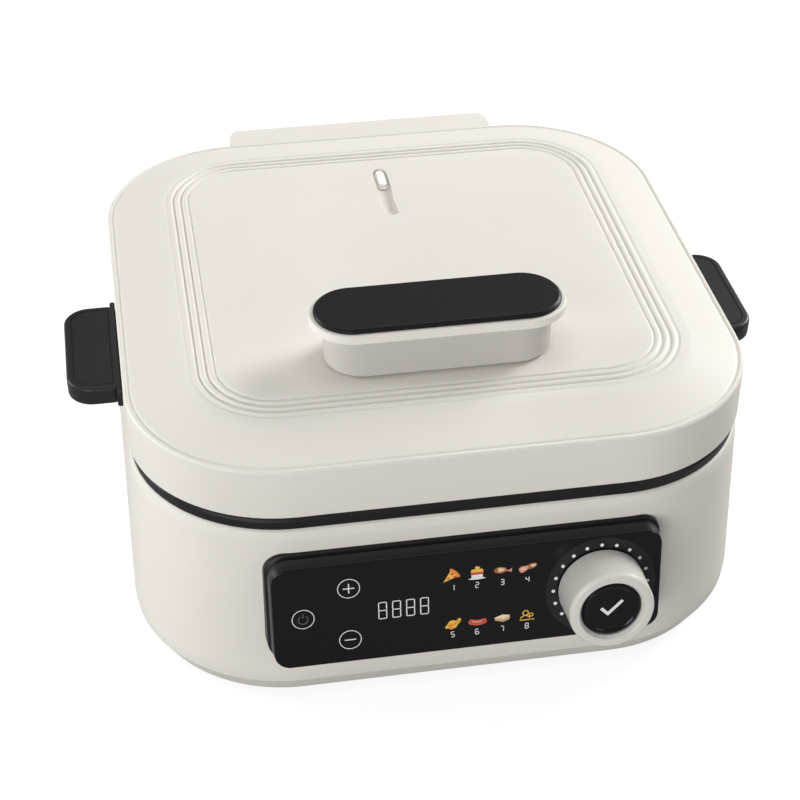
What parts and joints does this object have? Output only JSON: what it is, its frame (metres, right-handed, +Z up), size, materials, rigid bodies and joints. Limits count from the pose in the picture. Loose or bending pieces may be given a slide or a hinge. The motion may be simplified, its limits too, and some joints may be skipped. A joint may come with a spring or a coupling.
{
  "type": "electric pizza maker",
  "caption": "Rounded-square countertop electric pizza maker with a lift-up lid, side handles, front control panel with turning knob and press button, and a sliding steam vent.",
  "frame": {"origin": "on the floor plane, under the middle of the whole object's box", "axes": "+Z up, -Y out of the front panel, +X to the right as seen from the front"},
  "size_m": [0.402, 0.417, 0.2009],
  "materials": {
    "cream_plastic": "satin",
    "black_plastic": "satin",
    "gloss_black": "gloss",
    "white_plastic": "satin",
    "rubber": "matte",
    "steel": "brushed",
    "pan_coating": "non-stick satin",
    "heater_steel": "dark",
    "board": "satin",
    "brass": "plain"
  },
  "bodies": {
    "base": {"base_shell": "cream_plastic", "bottom_plate": "black_plastic", "feet": "rubber", "bottom_screws": "steel", "rim_ring": "black_plastic", "heat_shield": "steel", "cooking_pan": "pan_coating", "lower_heater": "heater_steel", "lower_heater_clips": "steel", "temperature_probe": "steel", "probe_spring": "steel", "thermal_fuse": "brass", "left_handle": "black_plastic", "right_handle": "black_plastic", "side_handle_screws": "steel", "panel_housing": "black_plastic", "panel_fascia": "gloss_black", "display_module": "black_plastic", "control_board": "board", "board_screws": "steel", "touch_springs": "brass", "encoder": "steel", "power_board": "board", "power_relay": "black_plastic", "terminal_block": "white_plastic", "mains_inlet": "black_plastic", "inlet_pins": "steel", "hinge_bracket": "steel", "bracket_screws": "steel", "hinge_pins": "steel"},
    "lid": {"lid_shell": "cream_plastic", "lid_liner": "steel", "liner_screws": "steel", "upper_heater": "heater_steel", "upper_heater_clips": "steel", "lid_gasket": "rubber", "hinge_block": "cream_plastic", "grip_post": "cream_plastic", "grip_cap": "black_plastic", "grip_screws": "steel"},
    "vent": {"vent_slider": "white_plastic"},
    "knob": {"knob_ring": "cream_plastic"},
    "button": {"press_button": "black_plastic"}
  },
  "joints": [
    {"name": "lid_hinge", "type": "hinge", "parent": "base", "child": "lid", "pos_m": [0, 0.19546, 0.1302], "axis": [-1, 0, 0], "range_deg": [0, 95]},
    {"name": "vent_slide", "type": "slide", "parent": "lid", "child": "vent", "axis": [0, -1, 0], "range_m": [0, 0.032]},
    {"name": "knob_turn", "type": "hinge", "parent": "base", "child": "knob", "pos_m": [0.0715, -0.18123, 0.07579], "axis": [0, -0.9907, 0.1357], "continuous": true},
    {"name": "button_press", "type": "slide", "parent": "base", "child": "button", "axis": [0, 0.9907, -0.1357], "range_m": [0, 0.0015], "stiffness_N_per_m": 800}
  ]
}
